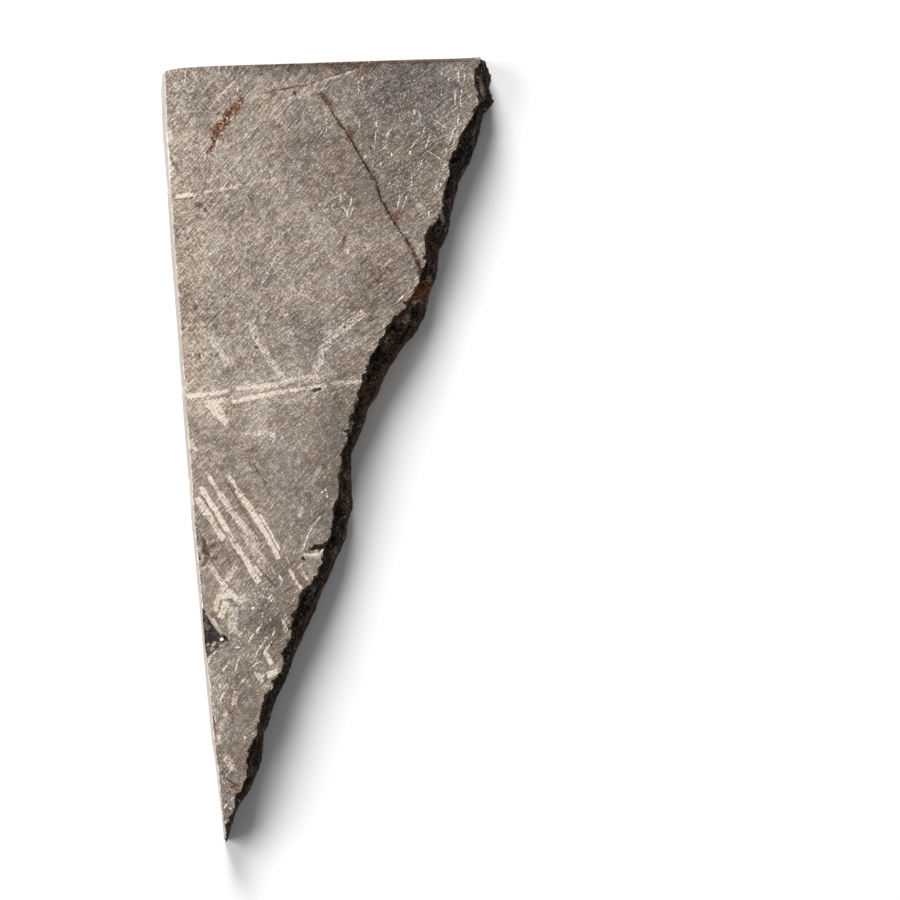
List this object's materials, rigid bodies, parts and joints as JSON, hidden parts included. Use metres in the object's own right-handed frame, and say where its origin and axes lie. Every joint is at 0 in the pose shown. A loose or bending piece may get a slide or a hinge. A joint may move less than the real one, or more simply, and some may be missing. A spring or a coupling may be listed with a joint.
{
  "type": "iron meteorite etched slice",
  "caption": "Long triangular slice of iron meteorite with an etched and brushed face, straight sawn sides, a rough dark natural side, a fine crack and a small edge chip.",
  "frame": {"origin": "on the plane of the underside, below the centre of the bounding box", "axes": "+X from the long sawn side towards the natural side, +Y from the tip towards the short sawn side, +Z out of the etched face"},
  "size_m": [0.0509, 0.12, 0.008],
  "materials": {
    "meteorite_iron": "sawn nickel-iron, etched and brushed on its face, with rust stains, and near-black weathered crust on its natural side"
  },
  "bodies": {
    "root": {"meteorite_slice": "meteorite_iron"}
  },
  "joints": []
}
